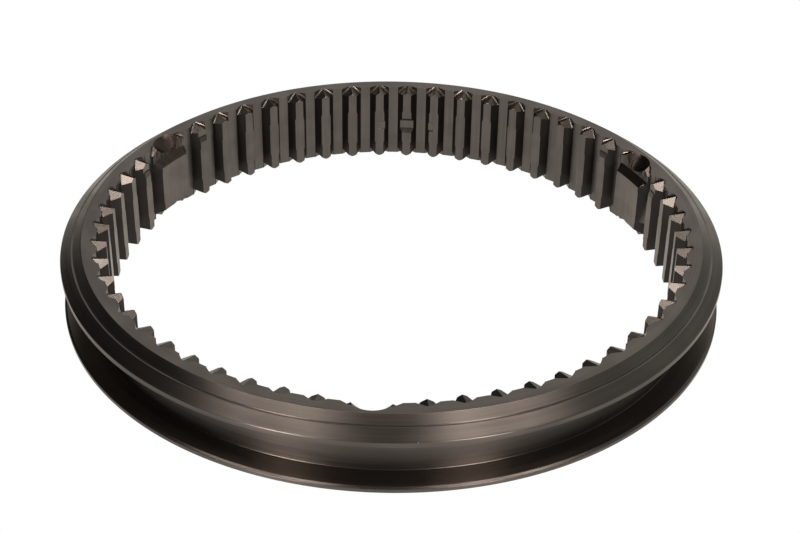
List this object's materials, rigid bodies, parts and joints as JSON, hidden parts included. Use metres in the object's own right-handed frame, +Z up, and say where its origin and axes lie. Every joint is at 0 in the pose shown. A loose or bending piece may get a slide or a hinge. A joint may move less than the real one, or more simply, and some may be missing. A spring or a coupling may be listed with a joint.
{
  "type": "synchronizer sliding sleeve",
  "caption": "Steel shift sleeve ring of a synchronizer: pointed internal spline teeth, detent notches, pocketed wide lands, and a fork groove between two conical rims.",
  "frame": {"origin": "centre of the ring's lower face", "axes": "+Z up the ring's own axis, towards the face with the stepped cones; +Y towards the first detent tooth"},
  "size_m": [0.165, 0.165, 0.0213],
  "materials": {
    "sleeve_steel": "dark warm grey satin, turned outside and broached inside"
  },
  "bodies": {
    "root": {"sliding_sleeve": "sleeve_steel"}
  },
  "joints": []
}
